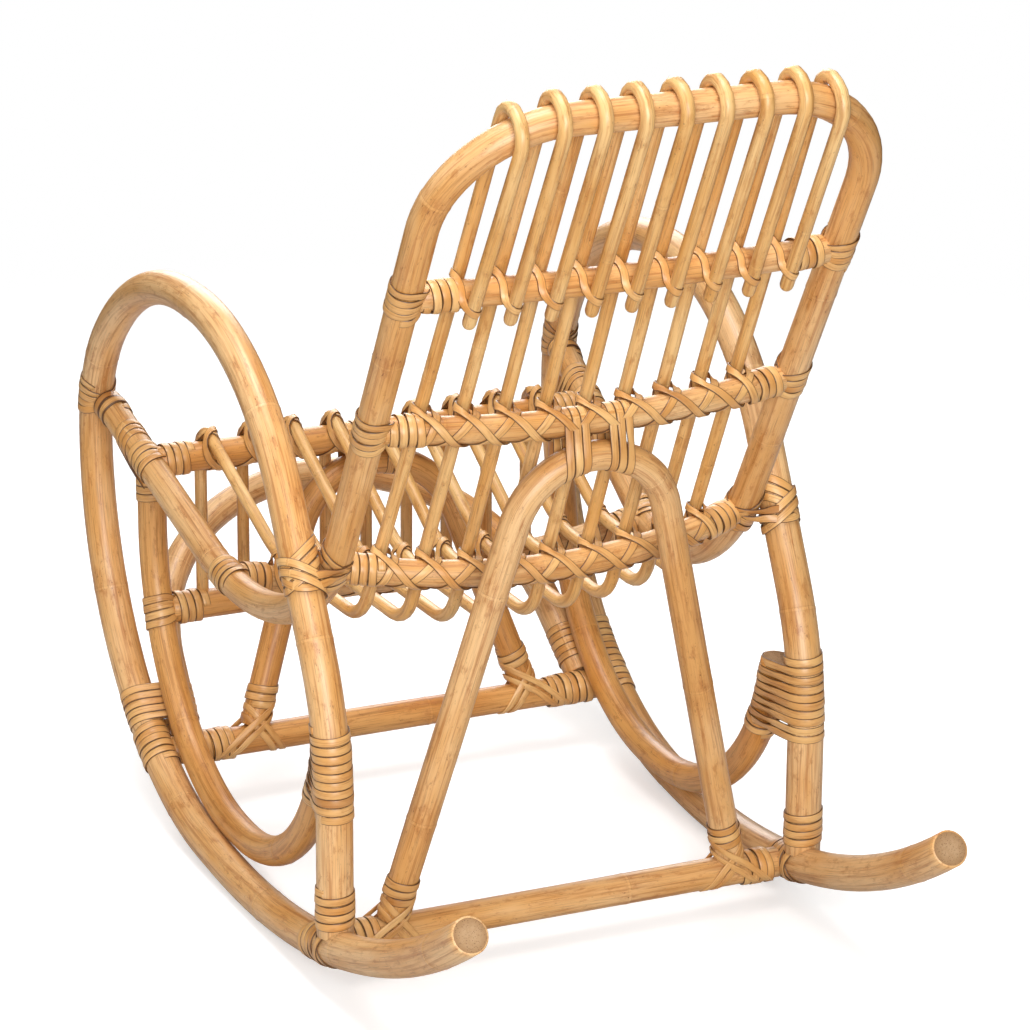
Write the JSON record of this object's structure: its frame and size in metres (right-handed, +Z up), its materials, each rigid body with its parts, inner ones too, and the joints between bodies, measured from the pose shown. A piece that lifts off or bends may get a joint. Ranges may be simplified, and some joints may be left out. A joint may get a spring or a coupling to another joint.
{
  "type": "rattan rocking chair",
  "caption": "Rocking chair of bent and lashed rattan poles: looped armrest sides with rockers, cane slats running over seat and back, low brace arches and a footrest bow.",
  "frame": {"origin": "on the floor, midway between the two points where the rockers touch it", "axes": "+Z up, the sitter faces -Y, +X to the sitter's left"},
  "size_m": [0.569, 1.0215, 0.9023],
  "materials": {
    "rattan_pole": "honey-coloured lacquered rattan pole",
    "slat_cane": "honey-coloured lacquered thin cane",
    "rattan_peel": "flat rattan peel strip, lacquered"
  },
  "bodies": {
    "root": {"back_rail_lower": "rattan_pole", "back_rail_middle": "rattan_pole", "back_rail_upper": "rattan_pole", "back_seat_frame": "rattan_pole", "footrest_arch": "rattan_pole", "front_brace_arch": "rattan_pole", "front_floor_rail": "rattan_pole", "front_lower_rail": "rattan_pole", "front_seat_rail": "rattan_pole", "lash_arm_left": "rattan_peel", "lash_arm_right": "rattan_peel", "lash_back_lower_left": "rattan_peel", "lash_back_lower_right": "rattan_peel", "lash_back_middle_left": "rattan_peel", "lash_back_middle_right": "rattan_peel", "lash_back_upper_left": "rattan_peel", "lash_back_upper_right": "rattan_peel", "lash_bow_front_left": "rattan_peel", "lash_bow_front_right": "rattan_peel", "lash_bow_rear_left": "rattan_peel", "lash_bow_rear_right": "rattan_peel", "lash_bow_top_left": "rattan_peel", "lash_bow_top_right": "rattan_peel", "lash_foot_left": "rattan_peel", "lash_foot_right": "rattan_peel", "lash_front_floor_left": "rattan_peel", "lash_front_floor_right": "rattan_peel", "lash_rear_floor_left": "rattan_peel", "lash_rear_floor_right": "rattan_peel", "lash_seat_front_left": "rattan_peel", "lash_seat_front_right": "rattan_peel", "lash_seat_rear_left": "rattan_peel", "lash_seat_rear_right": "rattan_peel", "rear_brace_arch": "rattan_pole", "rear_floor_rail": "rattan_pole", "rear_seat_rail": "rattan_pole", "side_loop_left": "rattan_pole", "side_loop_right": "rattan_pole", "slat_1": "slat_cane", "slat_2": "slat_cane", "slat_3": "slat_cane", "slat_4": "slat_cane", "slat_5": "slat_cane", "slat_6": "slat_cane", "slat_7": "slat_cane", "slat_8": "slat_cane", "slat_9": "slat_cane", "under_bow_left": "rattan_pole", "under_bow_right": "rattan_pole"}
  },
  "joints": []
}
